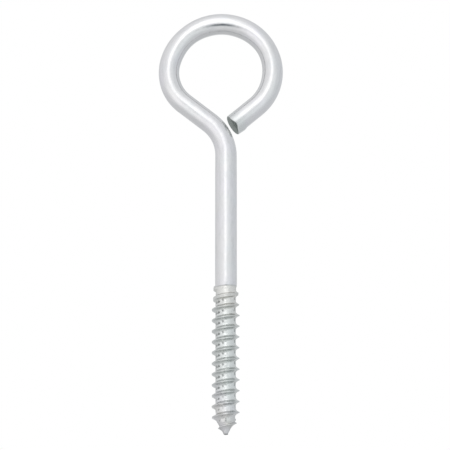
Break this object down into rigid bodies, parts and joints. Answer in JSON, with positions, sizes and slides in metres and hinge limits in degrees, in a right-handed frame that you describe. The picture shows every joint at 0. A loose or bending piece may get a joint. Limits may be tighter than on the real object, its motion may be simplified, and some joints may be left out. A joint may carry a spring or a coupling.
{
  "type": "eye bolt",
  "caption": "Bent-wire eye bolt: an open round eye on a plain shank, with a right-handed lag thread and gimlet point for screwing into timber.",
  "frame": {"origin": "on the shank's axis, where the plain shank ends and the thread begins, which is the timber's surface when the whole thread is home", "axes": "+Z along the shank towards the eye; the eye lies in the XZ plane and opens along Y; +X is the side of the eye's cut end"},
  "size_m": [0.0427, 0.0092, 0.1443],
  "materials": {
    "zinc_plated_steel": "bright zinc plating over drawn steel wire, satin to glossy"
  },
  "bodies": {
    "root": {"wire_eye_bolt": "zinc_plated_steel"}
  },
  "joints": []
}
